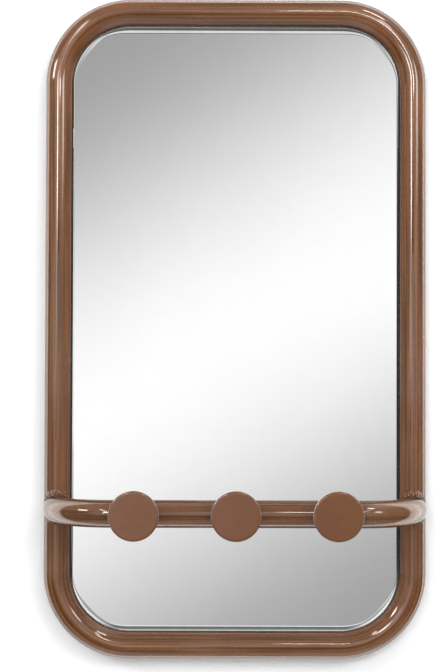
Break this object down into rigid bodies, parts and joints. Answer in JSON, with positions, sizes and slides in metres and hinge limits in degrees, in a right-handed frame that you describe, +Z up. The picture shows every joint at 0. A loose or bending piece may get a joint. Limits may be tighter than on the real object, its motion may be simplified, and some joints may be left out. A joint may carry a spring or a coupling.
{
  "type": "mirror with hooks",
  "caption": "Wall mirror in a bent tube frame with rounded corners, with a tube rail across the lower part that carries round disc hooks.",
  "frame": {"origin": "on the wall plane, midway between the two keyhole entries of the hanger plates", "axes": "+Z up, the mirror faces -Y, the wall is the plane y = 0, +X to the right as seen from the front"},
  "size_m": [0.4, 0.11, 0.692],
  "materials": {
    "coat": "gloss powder coat, caramel brown",
    "weld": "the same coat over a ground weld bead",
    "mirror": "silvered float glass, polished edge",
    "board": "black painted fibreboard",
    "tape": "closed-cell foam mirror tape",
    "screw": "zinc plated",
    "hanger": "zinc plated sheet",
    "bumper": "moulded rubber"
  },
  "bodies": {
    "root": {"frame_tube": "coat", "hook_rail": "coat", "weld_left": "weld", "weld_right": "weld", "knob_left": "coat", "knob_middle": "coat", "knob_right": "coat", "knob_screws": "screw", "saddle_washers": "screw", "mirror_glass": "mirror", "mounting_tape": "tape", "backing_board": "board", "lug_upper_left": "coat", "lug_upper_right": "coat", "lug_lower_left": "coat", "lug_lower_right": "coat", "board_screws": "screw", "hanger_left": "hanger", "hanger_right": "hanger", "hanger_screws": "screw", "bumper_left": "bumper", "bumper_right": "bumper"}
  },
  "joints": []
}
